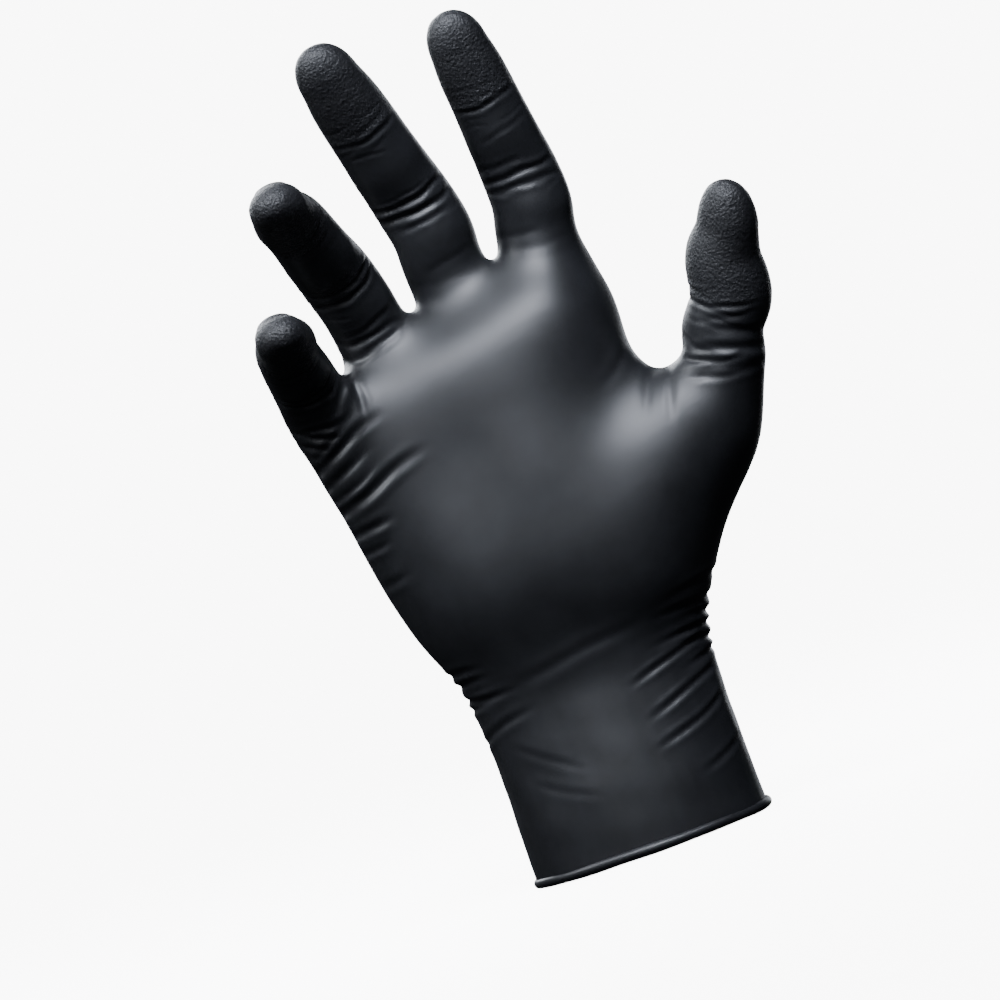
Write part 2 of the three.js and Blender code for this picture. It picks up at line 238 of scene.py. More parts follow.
# Creases round the wrist: the height, the slope per radian, the turn of its middle from +X, its reach to both
# sides, its width and its depth
WRIST_FOLDS = (
    (45.5, 2.5, 0, 48, 0.9, 0.5),
    (49, -1.5, 6, 52, 0.95, 0.65),
    (52.6, 1, -4, 58, 0.9, 0.6),
    (56, -2, 2, 46, 0.95, 0.6),
    (59.6, 2, -8, 50, 1.0, 0.5),
    (64.5, 3, -12, 42, 1.1, 0.35),
    (48.5, 8, -42, 34, 0.9, 0.45),
    (38.5, 7, -38, 36, 0.95, 0.5),
    (30.5, 8, -42, 34, 0.95, 0.45),
    (19, 6, -32, 28, 1.0, 0.35),
    (33, -16, -128, 22, 1.3, 0.12),
    (24, -14, -122, 20, 1.2, 0.1),
    (51, 2, 178, 44, 0.95, 0.5),
    (54.8, -1.5, 184, 50, 0.95, 0.6),
    (58.4, 1.5, 176, 48, 0.95, 0.5),
    (62.5, -1, 182, 42, 1.0, 0.4),
    (44, 5, 200, 40, 1.1, 0.3),
    (56, -3, 90, 70, 1.3, 0.4),
    (61, 4, 75, 55, 1.2, 0.4),
    (50.5, 3, 110, 60, 1.2, 0.4),
    (44, -5, 65, 50, 1.2, 0.35),
    (36, 4, 120, 45, 1.3, 0.3),
    (67, 2, 100, 60, 1.4, 0.35),
    (57, 3, -95, 45, 1.6, 0.2),
)

WRIST_TOP = 92  # no crease of the wrist lies above this
FOREARM = (34, 23)  # its half width and half depth, for turns about it
LOOSENESS = (0.03, 0.16, 0.13)  # how uneven the film is everywhere, and what the cuff and the back add

# Where each digit bends at the palm: from where, over how long, and the direction that a slanted bend runs.
# The ring and little fingers' bends are slanted so that the web between them stays with the palm.
ROOT_ZONES = {
    "index": (-1.5, 10.5, None),
    "middle": (-1.5, 11, None),
    "ring": (1.3, 8, (-0.3, -0.3, 0.91)),
    "little": (0.5, 6, (-0.55, -0.65, 0.53)),
    "thumb": (-0.5, 10.5, None),
}
FOLD_ZONES = {  # from where to where each later fold bends, along the digit from the fold
    "index": ((-7, 7.5), (-6.5, 6.5)),
    "middle": ((-7.5, 7.5), (-6.5, 6.5)),
    "ring": ((-3.2, 7), (-6, 6.5)),
    "little": ((-2, 7), (-5.5, 5.5)),
    "thumb": ((-6.5, 7.5),),
}
WRIST_ZONE = (36, 69)  # the heights that the wrist bends between
MARGIN = 0.7  # between a bend and the edge of the piece before it
FAR = 9.0  # half widths: farther than any film lies from a digit's middle line
OWN_REACH = 1.7  # how far from its middle line a digit's film may lie, in half widths
SKIN_FOOT = 2  # where the film goes into the rolled edge
FILM = 0.5  # the film's thickness as it is shown
BEAD = {"radius": 1.45, "half_width": 32.7, "half_depth": 23.6, "around": 180, "sides": 16}
ROLL_END = {"turn": 2.2, "width": 0.3, "depth": 0.16}  # the groove where the roll of the bead ends
GRIP_START = {  # from where to where the grip texture grows in, along the fingertip from its fold
    "index": (-1.5, 2.5), "middle": (-1.5, 2.5), "ring": (-1, 2.5), "little": (-1, 2.5), "thumb": (-1, 3),
}

# The look
FILM_DARK = (0.007, 0.0075, 0.009)
FILM_LIGHT = (0.012, 0.0128, 0.015)
ROUGHNESS = (0.41, 0.46)
GRIP_ROUGHER = 0.05
GRIP_STRENGTH = 0.95
FLOW_SCALE, CLOUD_SCALE, SPECK_SCALE = 0.09, 0.6, 4.5  # per millimetre
CELL_SCALE, CRINKLE_SCALE = 1.3, 1.5
CLOUD_HEIGHT, SPECK_HEIGHT, GRIP_HEIGHT = 0.00008, 0.00002, 0.00022  # metres
FLOOR_GLOW = 9
BOWL = {"flat": 0.9, "radius": 3.2, "curve": 1.2, "height": 5, "around": 96, "steps": 12}  # metres
WORLD_STRENGTH = 0.02
BEAM = 60  # how wide each light throws, in degrees
LIGHTS = (  # name, place, what it points at, its two sides, power, colour
    ("key", (0.03, -0.48, 0.82), (0.02, 0, 0.26), (0.46, 0.42), 2.6, (0.86, 0.9, 1)),
    ("front", (-0.1, -1.3, 0.55), (0, 0, 0.2), (0.5, 0.5), 0.3, (0.86, 0.9, 1)),
    ("top", (-0.55, -0.15, 0.75), (0, 0, 0.17), (0.3, 0.5), 1.0, (0.9, 0.94, 1)),
    ("back", (-0.35, 1.0, 0.75), (0, 0, 0.12), (0.7, 0.7), 2.6, (0.9, 0.94, 1)),
    ("back_low", (0.5, 1.2, 0.2), (0, 0, 0.12), (0.5, 0.6), 0.5, (0.9, 0.94, 1)),
)
CAMERA = {"distance": 1500, "frame_width": 270.3, "middle": (-7.2, 0, 102.7), "roll": 20}
SENSOR = 36


UP = np.array([0, 0, 1.0])


def unit(vector):
    """The vector's direction."""
    vector = np.asarray(vector, float)
    return vector / np.linalg.norm(vector)


def smooth_path(points, steps):
    """Points on a smooth curve through the given points, with steps of them from each to the next."""
    points = np.asarray(points, float)
    padded = np.vstack([2 * points[0] - points[1], points, 2 * points[-1] - points[-2]])
    made = []
    for i in range(len(points) - 1):
        a, b, c, d = padded[i:i + 4]
        for t in np.arange(steps) / steps:
            made.append(0.5 * (2 * b + (c - a) * t + (2 * a - 5 * b + 4 * c - d) * t**2
                               + (3 * b - a - 3 * c + d) * t**3))
    made.append(points[-1])
    return np.array(made)


# ------------------------------------------------ the skeleton, from the CAD model's joints and nodes


def joint(name):
    """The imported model's joint of this name."""
    return next(j for j in frame["joints"] if j["name"] == name)


def parts_of(digit):
    return ("lower", "tip") if digit == "thumb" else ("lower", "middle", "tip")


def node_points(name):
    """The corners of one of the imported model's nodes, in millimetres."""
    mesh = frame["nodes"][name].data
    points = np.empty(len(mesh.vertices) * 3, np.float32)
    mesh.vertices.foreach_get("co", points)
    return points.reshape(-1, 3).astype(float) / MM


def aim(lean, tilt):
    """The direction that +Z takes when it leans to the side and tilts towards the palm."""
    lean, tilt = math.radians(lean), math.radians(tilt)
    return np.array([math.cos(tilt) * math.sin(lean), -math.sin(tilt), math.cos(tilt) * math.cos(lean)])


def skeleton(digit):
    """A digit's folds: each one's pivot and middle, and its directions along, across and out of the back."""
    parts = parts_of(digit)
    pivots = [np.array(joint(f"{digit}_{part}_bend")["pos_m"]) / MM for part in parts]
    folds = []
    for i, part in enumerate(parts):
        across = unit(joint(f"{digit}_{part}_bend")["axis"])
        along = aim(*TIP_AIM[digit]) if part == "tip" else unit(pivots[i + 1] - pivots[i])
        back = unit(np.cross(along, across))
        middle = pivots[i] + back * PIVOT_SHARE * DEPTH * HALF_WIDTHS[digit][2 * i + 2]
        folds.append({"pivot": pivots[i], "middle": middle, "along": along, "across": across, "back": back})
    reach = (node_points(f"{digit}_tip") - folds[-1]["middle"]) @ folds[-1]["along"]
    folds[-1]["length"] = reach.max() - TIP_TRIM[digit]
    for fold, after in zip(folds, folds[1:]):
        fold["length"] = (after["middle"] - fold["middle"]) @ fold["along"]
    return folds


SKELETON = {digit: skeleton(digit) for digit in DIGITS}


# ------------------------------------------------ the skin's lofts


def ring(middle, across, back, half_width, half_depth, exponent):
    """Points round a section, which is an ellipse where the exponent is 2 and squarer where it is more."""
    angle = np.arange(AROUND) / AROUND * 2 * math.pi
    side = np.sign(np.cos(angle)) * np.abs(np.cos(angle)) ** (2 / exponent)
    out = np.sign(np.sin(angle)) * np.abs(np.sin(angle)) ** (2 / exponent)
    return middle + np.outer(side * half_width, across) + np.outer(out * half_depth, back)


def closed_loft(rings):
    """The points and triangles of a closed skin over the rings."""
    count = len(rings[0])
    points = np.vstack(rings)
    triangles = []
    for r in range(len(rings) - 1):
        for i in range(count):
            a, b = r * count + i, r * count + (i + 1) % count
            triangles += [(a, b, b + count), (a, b + count, a + count)]
    last = (len(rings) - 1) * count
    for i in range(1, count - 1):
        triangles += [(0, i + 1, i), (last, last + i, last + i + 1)]
    return points, np.array(triangles)


def hand_loft():
    """The forearm and the hand without its digits."""
    rows = [list(left) + list(right) + [depth, exponent] for left, right, depth, exponent in HAND]
    rings = []
    for row in smooth_path(rows, HAND_STEPS):
        left, right, depth, exponent = row[:3], row[3:6], row[6], row[7]
        half = (right - left) / 2
        back = np.array([0, 1, 0])
        rings.append(ring((left + right) / 2, unit(half), back, np.linalg.norm(half), depth / 2, exponent))
    return closed_loft(rings)


def digit_stations(digit):
    """Along a digit, from deep in the hand to the pad: its middles, backs, and half widths."""
    folds = SKELETON[digit]
    first, last = folds[0], folds[-1]
    back_off, aside = KNUCKLE[digit]
    knuckle = first["middle"] - first["along"] * back_off + first["across"] * aside
    middles = [np.array(BONES[digit]), knuckle, first["middle"]]
    backs = [first["back"]] * 3
    for fold, after in zip(folds, folds[1:]):
        middles += [(fold["middle"] + after["middle"]) / 2, after["middle"]]
        backs += [fold["back"], unit(fold["back"] + after["back"])]
    for share in (PAD_STATION, 1 - DOME):
        middles.append(last["middle"] + last["along"] * last["length"] * share)
        backs.append(last["back"])
    middles[3] = middles[3] + first["across"] * SIDEWAYS[digit]
    middles[-2] = middles[-2] + last["across"] * TIP_SIDEWAYS[digit]
    return np.array(middles), np.array(backs), np.array(HALF_WIDTHS[digit])


def digit_loft(digit):
    """A digit from deep in the hand to the end of its tip."""
    last = SKELETON[digit][-1]
    middles, backs, widths = digit_stations(digit)
    path = smooth_path(np.hstack([middles, backs, widths[:, None]]), DIGIT_STEPS)
    rings = []
    count = len(path)
    for i, row in enumerate(path):
        middle, back, half_width = row[:3], unit(row[3:6]), row[6]
        along = unit(path[min(i + 1, count - 1)][:3] - path[max(i - 1, 0)][:3])
        across = unit(np.cross(back, along))
        back = np.cross(along, across)
        share = max(0, (i - count + FLATTENING) / FLATTENING)
        depth = half_width * (DEPTH + (TIP_DEPTH - DEPTH) * share)
        rings.append(ring(middle, across, back, half_width, depth, ROUNDNESS))
    end = last["middle"] + last["along"] * last["length"]
    start, half_width = path[-1][:3], path[-1][6]
    for t in np.linspace(0, 1, DOME_SECTIONS + 1)[1:]:
        shrink = max(DOME_END, (1 - t**ROUNDNESS) ** 0.5)
        middle = start + (end - start) * t - last["back"] * TIP_DROP * t**2
        depth = half_width * TIP_DEPTH * shrink
        rings.append(ring(middle, last["across"], last["back"], half_width * shrink, depth, ROUNDNESS))
    return closed_loft(rings)


# ------------------------------------------------ distance fields


def field_of(points, triangles):
    """The distance to a closed skin, on the grid between LOWEST and HIGHEST, kept within BAND voxels."""
    transform = openvdb.createLinearTransform(voxelSize=VOXEL)
    grid = openvdb.FloatGrid.createLevelSetFromPolygons(
        points.astype(np.float32), triangles=triangles.astype(np.uint32), transform=transform, halfWidth=BAND)
    values = np.empty(GRID_SIZE, np.float32)
    grid.copyToArray(values, ijk=GRID_START)
    return values


def cone_field(start, end, start_radius, end_radius):
    """The distance to a round-ended cone, on the same grid."""
    start, end = np.array(start, float), np.array(end, float)
    line = end - start
    offsets = []
    for i in range(3):
        axis = (np.arange(GRID_SIZE[i], dtype=np.float32) + GRID_START[i]) * VOXEL - start[i]
        offsets.append(np.expand_dims(axis, tuple(k for k in range(3) if k != i)))
    share = sum(offset * length for offset, length in zip(offsets, line)) / (line @ line)
    share = np.clip(share, 0, 1)
    square = sum((offset - share * length) ** 2 for offset, length in zip(offsets, line))
    distance = np.sqrt(square) - (start_radius + (end_radius - start_radius) * share)
    return np.clip(distance, -BAND * VOXEL, BAND * VOXEL).astype(np.float32)


def join(a, b, reach):
    """The union of two distance fields, filleted over reach."""
    share = np.clip(0.5 + 0.5 * (b - a) / reach, 0, 1)
    return b + (a - b) * share - reach * share * (1 - share)


def glove_field():
    """The whole hand: its palm with the mounds, the four fingers with their webs, and the thumb."""
    field = field_of(*hand_loft())
    for start, end, start_radius, end_radius in MOUNDS:
        field = join(field, cone_field(start, end, start_radius, end_radius), FILLETS["mound"])
    fingers = None
    for digit in FINGERS:
        one = field_of(*digit_loft(digit))
        fingers = one if fingers is None else join(fingers, one, FILLETS["finger"])
    for start, end, start_radius, end_radius in WEBS:
        fingers = join(fingers, cone_field(start, end, start_radius, end_radius), FILLETS["web"])
    field = join(field, fingers, FILLETS["palm"])
    return join(field, field_of(*digit_loft("thumb")), FILLETS["thumb"])


def skin_of(field):
    """The zero surface of a distance field as points and quads."""
    grid = openvdb.FloatGrid(BAND * VOXEL)
    grid.copyFromArray(field, ijk=GRID_START)
    grid.transform = openvdb.createLinearTransform(voxelSize=VOXEL)
    points, _, quads = grid.convertToPolygons(isovalue=0.0, adaptivity=0.0)
    return points.astype(float), quads.astype(int)


def neighbour_means(points, edges):
    """For each point, the mean of the points that it shares an edge with."""
    count = np.bincount(edges.ravel(), minlength=len(points))[:, None]
    return (summed(edges[:, 0], points[edges[:, 1]], len(points))
            + summed(edges[:, 1], points[edges[:, 0]], len(points))) / count


def relaxed(points, faces, rounds):
    """The points after rounds of smoothing that doesn't shrink the skin."""
    edges, _ = edges_of(faces)
    for _ in range(rounds):
        for strength in (0.6, -0.62):
            points = points + strength * (neighbour_means(points, edges) - points)
    return points


def stretched(points, faces, rounds):
    """The points after the film has drawn itself smooth over the hollows of the palm."""
    edges, _ = edges_of(faces)
    normals = normals_of(points, faces)
    height = points[:, 2] + 0.5 * np.maximum(0, -points[:, 0])
    share = smooth_step(height, 62, 80) * (1 - smooth_step(height, 156, 172))
    share = share * smooth_step(-normals[:, 1], 0.05, 0.5) * (1 - smooth_step(points[:, 0], 48, 60))
    for _ in range(rounds):
        points = points + 0.6 * share[:, None] * (neighbour_means(points, edges) - points)
    return points


def mesh_object(name, points, faces):
    """A new object whose mesh has these points, given in millimetres."""
    mesh = bpy.data.meshes.new(name)
    mesh.from_pydata((points * MM).tolist(), [], faces.tolist())
    mesh.update()
    made = bpy.data.objects.new(name, mesh)
    bpy.context.scene.collection.objects.link(made)
    return made


def edges_of(faces):
    """The distinct edges of quads, and which edge each side of each quad is."""
    sides = np.stack([faces, np.roll(faces, -1, axis=1)], axis=2).reshape(-1, 2)
    edges, which = np.unique(np.sort(sides, axis=1), axis=0, return_inverse=True)
    return edges, which.reshape(len(faces), 4)


def summed(index, values, count):
    """The vectors added up at the points that they belong to."""
    return np.stack([np.bincount(index, values[:, axis], count) for axis in range(3)], axis=1)


def subdivided(points, faces):
    """One Catmull-Clark step on a closed skin of quads."""
    edges, sides = edges_of(faces)
    count = len(points)
    centres = points[faces].mean(axis=1)
    repeated = np.repeat(centres, 4, axis=0)
    ends = points[edges].sum(axis=1)
    beside = np.bincount(sides.ravel(), minlength=len(edges))[:, None]
    edge_points = (ends + summed(sides.ravel(), repeated, len(edges))) / (2 + beside)
    valence = np.bincount(edges.ravel(), minlength=count)[:, None]
    corners = np.maximum(np.bincount(faces.ravel(), minlength=count), 1)[:, None]
    around = summed(faces.ravel(), repeated, count) / corners
    halfway = summed(edges.ravel(), np.repeat(ends / 2, 2, axis=0), count) / valence
    moved = (around + 2 * halfway + (valence - 3) * points) / valence
    middles = count + sides
    hubs = count + len(edges) + np.arange(len(faces))
    quads = [np.stack([faces[:, i], middles[:, i], hubs, middles[:, i - 1]], axis=1) for i in range(4)]
    return np.vstack([moved, edge_points, centres]), np.vstack(quads)


def normals_of(points, faces):
    """The direction out of the skin at each point."""
    a, b, c, d = (points[faces[:, i]] for i in range(4))
    across = np.cross(c - a, d - b)
    total = summed(faces.ravel(), np.repeat(across, 4, axis=0), len(points))
    return total / np.maximum(np.linalg.norm(total, axis=1), 1e-9)[:, None]


# ------------------------------------------------ the folds of the film


def smooth_step(value, low, high):
    share = np.clip((value - low) / (high - low), 0, 1)
    return share * share * (3 - 2 * share)


def furrow(distance, width):
    """A crease across the distance: a valley between two low ridges, 1 deep."""
    x = distance / width
    return 0.5 * np.exp(-(x - 1.7) ** 2) + 0.35 * np.exp(-(x + 1.7) ** 2) - np.exp(-x**2)


def ripple(points, length, seed):
    """A soft uneven wave over space, about 1 high, with roughly this wavelength."""
    random = np.random.default_rng(seed)
    total = np.zeros(len(points))
    for _ in range(7):
        direction = unit(random.normal(size=3)) * random.uniform(0.7, 1.4)
        total += np.sin(points @ direction * 2 * math.pi / length + random.uniform(0, 2 * math.pi))
    return total / 2.6


def fold_frames(digit):
    """For each fold of a digit: its middle, and the directions halfway between the parts that it joins."""
    folds = SKELETON[digit]
    frames = []
    for i, fold in enumerate(folds):
        along = fold["along"] if i == 0 else unit(folds[i - 1]["along"] + fold["along"])
        frames.append((fold["middle"], along, fold["across"], unit(np.cross(along, fold["across"]))))
    return frames


def line_distance(points, digit):
    """How far the points lie from a digit's middle line, in its half widths."""
    folds = SKELETON[digit]
    line = [fold["middle"] for fold in folds]
    line.append(folds[-1]["middle"] + folds[-1]["along"] * (folds[-1]["length"] - HALF_WIDTHS[digit][-1]))
    widths = list(HALF_WIDTHS[digit][2::2])
    widths = (widths + [HALF_WIDTHS[digit][-1]] * 2)[:len(line)]
    best = np.full(len(points), FAR)
    for i in range(len(line) - 1):
        step = line[i + 1] - line[i]
        share = (points - line[i]) @ step / (step @ step)
        share = np.clip(share, -0.6 if i == 0 else 0, 1)
        away = np.linalg.norm(points - line[i] - share[:, None] * step, axis=1)
        width = widths[i] + (widths[i + 1] - widths[i]) * np.clip(share, 0, 1)
        best = np.minimum(best, away / width)
    return best


def digit_folds(points, digit, nearness):
    """How far a digit's creases move the points out of the skin."""
    moved = np.zeros(len(points))
    random = np.random.default_rng(DIGITS.index(digit) + 5)
    near = np.flatnonzero(nearness < DIGIT_EDGE[1])
    inside = 1 - smooth_step(nearness[near], *DIGIT_EDGE)
    local = points[near]
    amount = np.zeros(len(near))
    for i, ((middle, along, across, back), creases) in enumerate(zip(fold_frames(digit), CREASES[digit])):
        away = local - middle
        station = away @ along
        turn = np.degrees(np.arctan2(away @ across, -(away @ back)))
        rows = list(creases)
        for _ in range(FINE_CREASES if i else 0):
            rows.append([random.uniform(low, high) for low, high in FINE_RANGES])
        for _ in range(BACK_CREASES):
            first = [random.uniform(low, high) for low, high in BACK_RANGES[:3]]
            side = random.choice((-1, 1))
            turned, *rest = [random.uniform(low, high) for low, high in BACK_RANGES[3:]]
            rows.append(first + [side * turned] + rest)
        for offset, width, depth, centre, reach, slant in rows:
            off_centre = (turn - centre + 180) % 360 - 180
            angle = np.radians(off_centre)
            wander = slant * np.sin(angle) + 0.3 * np.sin(3.1 * angle + 2 * offset)
            wander = wander + 0.15 * np.sin(7 * angle + offset)
            fade = 1 - smooth_step(np.abs(off_centre), reach * 0.45, reach)
            amount += depth * fade * furrow(station - offset - wander, width)
        swell = np.exp(-(station / KNUCKLE_LENGTH) ** 2) * (1 - smooth_step(180 - np.abs(turn), 20, 75))
        amount += KNUCKLE_HEIGHT * swell
    amount += pads(local, digit)
    amount += nail(local, digit)
    moved[near] = amount * inside
    return moved


def pads(points, digit):
    """The flesh between the folds on a digit's palm side, and the ball of its tip."""
    height = np.zeros(len(points))
    last = SKELETON[digit][-1]
    for fold in SKELETON[digit]:
        away = points - fold["middle"]
        station = away @ fold["along"]
        palmward = -(away @ fold["back"])
        facing = smooth_step(palmward, -2, 6)
        middle = fold["length"] * PAD_PLACE[1 if fold is last else 0]
        height += PAD_HEIGHT * facing * np.exp(-((station - middle) / (fold["length"] * PAD_LENGTH)) ** 2)
    return height


def nail(points, digit):
    """The nail under the film on the back of a fingertip: flat, with a low step along its free end."""
    fold = SKELETON[digit][-1]
    away = points - fold["middle"]
    half_width = HALF_WIDTHS[digit][-1]
    station = (away @ fold["along"] - fold["length"] + NAIL_PLACE * half_width) / (NAIL_END * half_width)
    side = away @ fold["across"] / (NAIL_SIDE * half_width)
    facing = smooth_step(away @ fold["back"], 1, 5)
    inside = 1 - smooth_step(np.sqrt(side**2 + station**2), 0.8, 1.05)
    return NAIL_HEIGHT * inside * facing


def stroke_distance(points, stroke):
    """Each point's distance from a stroke in the plane of the palm, and its share of the way along it."""
    flat = points[:, [0, 2]]
    corners = smooth_path(stroke, 6)
    lengths = np.linalg.norm(np.diff(corners, axis=0), axis=1)
    starts = np.concatenate([[0], np.cumsum(lengths)])
    best = np.full(len(points), 1e9)
    signed = np.zeros(len(points))
    place = np.zeros(len(points))
    for i, corner in enumerate(corners[:-1]):
        step = (corners[i + 1] - corner) / lengths[i]
        away = flat - corner
        raw = away @ step
        run = np.clip(raw, 0, lengths[i])
        distance = np.linalg.norm(away - run[:, None] * step, axis=1)
        closer = distance < best
        best[closer] = distance[closer]
        side = away[:, 0] * step[1] - away[:, 1] * step[0]
        signed[closer] = (np.sign(side) * distance)[closer]
        place[closer] = ((starts[i] + run) / starts[-1])[closer]
    return signed, place


def palm_folds(points, normals, strokes, front):
    """Creases drawn on the palm's side, or on the back when front is -1."""
    moved = np.zeros(len(points))
    facing = smooth_step(-front * normals[:, 1], 0.02, 0.35)
    for stroke, width, depth in strokes:
        corners = np.array(stroke, float)
        low, high = corners.min(axis=0) - 6, corners.max(axis=0) + 6
        near = np.flatnonzero((points[:, 0] > low[0]) & (points[:, 0] < high[0]) & (points[:, 2] > low[1])
                              & (points[:, 2] < high[1]) & (facing > 0))
        distance, place = stroke_distance(points[near], corners)
        fade = smooth_step(place, 0, 0.25) * (1 - smooth_step(place, 0.45, 1))
        fade = np.maximum(fade, (1 - smooth_step(place, 0.3, 1)) * (place > 0.001) * EDGE_STROKES)
        moved[near] += depth * fade * facing[near] * furrow(distance, width)
    return moved


def wrist_folds(points):
    """Creases that run round the forearm and the wrist, each about its own side."""
    moved = np.zeros(len(points))
    near = np.flatnonzero(points[:, 2] < WRIST_TOP)
    local = points[near]
    turn = np.degrees(np.arctan2(local[:, 1] / FOREARM[1], local[:, 0] / FOREARM[0]))
    for height, slope, centre, reach, width, depth in WRIST_FOLDS:
        off_centre = (turn - centre + 180) % 360 - 180
        angle = np.radians(off_centre)
        wander = slope * angle + 0.5 * np.sin(2.3 * angle + height) + 0.2 * np.sin(6.1 * angle + 2 * height)
        fade = 1 - smooth_step(np.abs(off_centre), reach * 0.35, reach)
        moved[near] += depth * fade * furrow(local[:, 2] - height - wander, width)
    return moved


def loose(points):
    """Slow unevenness where the film isn't stretched: on the cuff, the wrist and the back of the hand."""
    cuff = 1 - smooth_step(points[:, 2], 30, 70)
    back = smooth_step(points[:, 1], 2, 12)
    amount = LOOSENESS[0] + LOOSENESS[1] * cuff + LOOSENESS[2] * back
    uneven = ripple(points * np.array([1, 1, 0.35]), 30, 3) + 0.4 * ripple(points, 12, 4)
    return amount * uneven


def folded(points, faces):
    """The skin with its folds, as points."""
    normals = normals_of(points, faces)
    moved = loose(points) + wrist_folds(points)
    moved += palm_folds(points, normals, PALM_STROKES, 1)
    moved += palm_folds(points, normals, BACK_STROKES, -1)
    for digit in DIGITS:
        moved += digit_folds(points, digit, line_distance(points, digit))
    return points + normals * moved[:, None]


# ------------------------------------------------ the pieces


def root_zone(digit):
    """Where a digit's bend at the palm starts: a point on the plane, its normal, and the bend's length."""
    fold = SKELETON[digit][0]
    start, length, across_bend = ROOT_ZONES[digit]
    along = unit(across_bend) if across_bend else fold["along"]
    return fold["middle"] + along * start, along, length


def fold_zone(digit, i):
    """The same at the fold before the digit's part i."""
    if i == 0:
        return root_zone(digit)
    _, along, _, _ = fold_frames(digit)[i]
    start, end = FOLD_ZONES[digit][i - 1]
    return SKELETON[digit][i]["middle"] + along * start, along, end - start


def beyond(points, zone):
    """Whether each point lies past the start of a bend, or only just before it."""
    start, along, _ = zone
    return (points - start) @ along > -MARGIN


def labels_of(points, faces):
    """The name of the piece that each face belongs to."""
    centres = points[faces].mean(axis=1)
    nearness = np.stack([line_distance(centres, digit) for digit in DIGITS])
    for k, digit in enumerate(DIGITS):
        nearness[k, ~beyond(centres, root_zone(digit))] = FAR
    nearest = nearness.argmin(axis=0)
    labels = np.full(len(faces), "palm", dtype="<U16")
    labels[centres[:, 2] < WRIST_ZONE[1] + MARGIN] = "cuff"
    for k, digit in enumerate(DIGITS):
        own = (nearest == k) & (nearness[k] < OWN_REACH)
        for i, part in enumerate(parts_of(digit)):
            own = own & beyond(centres, fold_zone(digit, i))
            labels[own] = f"{digit}_{part}"
    labels[centres[:, 2] < SKIN_FOOT] = ""
    return labels


def add_attribute(mesh, name, kind, field, values):
    attribute = mesh.attributes.new(name, kind, "POINT")
    attribute.data.foreach_set(field, values.astype(np.float32).ravel())


def piece_object(name, points, normals, faces, tip_of=None):
    """A piece of the skin, with its unbent points and its grip texture's share stored on it."""
    used, index = np.unique(faces, return_inverse=True)
    made = mesh_object(name, points[used], index.reshape(faces.shape))
    mesh = made.data
    mesh.polygons.foreach_set("use_smooth", np.ones(len(mesh.polygons), bool))
    mesh.normals_split_custom_set_from_vertices(normals[used].tolist())
    add_attribute(mesh, "place", "FLOAT_VECTOR", "vector", points[used])
    grip = np.zeros(len(used))
    if tip_of:
        fold = SKELETON[tip_of][-1]
        station = (points[used] - fold["middle"]) @ fold["along"]
        grip = smooth_step(station, *GRIP_START[tip_of])
    add_attribute(mesh, "grip", "FLOAT", "value", grip)
    return made


def cuff_wall(points, normals, faces):
    """The cuff's faces with an inner side, so that the film shows its thickness at the opening."""
    count = len(points)
    used = np.unique(faces)
    inner = points.copy()
    inner[used] = points[used] - normals[used] * FILM
    both = np.vstack([faces, faces[:, ::-1] + count])
    return np.vstack([points, inner]), np.vstack([normals, -normals]), both


def bead_object():
    """The rolled edge of the cuff: a soft ring, a little uneven, with a groove where the roll ends."""
    around, sides = BEAD["around"], BEAD["sides"]
    points = []
    for i in range(around):
        turn = 2 * math.pi * i / around
        radius = BEAD["radius"] * (1 + 0.05 * math.sin(3 * turn + 1) + 0.03 * math.sin(11 * turn))
        height = BEAD["radius"] + 0.12 * math.sin(2 * turn) + 0.06 * math.sin(7 * turn + 2)
        outward = unit([BEAD["half_depth"] * math.cos(turn), BEAD["half_width"] * math.sin(turn), 0])
        middle = np.array([BEAD["half_width"] * math.cos(turn), BEAD["half_depth"] * math.sin(turn), height])
        for j in range(sides):
            angle = 2 * math.pi * j / sides
            groove = math.exp(-((angle - ROLL_END["turn"]) / ROLL_END["width"]) ** 2)
            grown = radius * (1 - ROLL_END["depth"] * groove)
            points.append(middle + outward * grown * math.cos(angle) + UP * grown * math.sin(angle))
    points = np.array(points)
    points[:, 2] -= points[:, 2].min()
    i, j = np.meshgrid(np.arange(around), np.arange(sides), indexing="ij")
    corners = [(i + di) % around * sides + (j + dj) % sides for di, dj in ((0, 0), (1, 0), (1, 1), (0, 1))]
    faces = np.stack([corner.ravel() for corner in corners], axis=1)
    return piece_object("film_edge", points, normals_of(points, faces), faces)


# ------------------------------------------------ materials


def new_material(name):
    """An empty material with its nodes, its links and a plain shader joined to its output."""
    material = bpy.data.materials.new(name)
    material.use_nodes = True
    nodes = material.node_tree.nodes
    nodes.clear()
    output = nodes.new("ShaderNodeOutputMaterial")
    shader = nodes.new("ShaderNodeBsdfPrincipled")
    material.node_tree.links.new(shader.outputs["BSDF"], output.inputs["Surface"])
    return material, nodes, material.node_tree.links, shader


def noise(nodes, links, place, scale, detail, roughness=0.5, distortion=0.0):
    """Cloudy noise over space, about 0.5."""
    made = nodes.new("ShaderNodeTexNoise")
    made.inputs["Scale"].default_value = scale
    made.inputs["Detail"].default_value = detail
    made.inputs["Roughness"].default_value = roughness
    made.inputs["Distortion"].default_value = distortion
    links.new(place, made.inputs["Vector"])
    return made.outputs["Fac"]


def maths(nodes, links, operation, *values):
    """The result of a sum, over numbers and other nodes' outputs."""
    made = nodes.new("ShaderNodeMath")
    made.operation = operation
    for socket, value in zip(made.inputs, values):
        if isinstance(value, (int, float)):
            socket.default_value = value
        else:
            links.new(value, socket)
    return made.outputs[0]


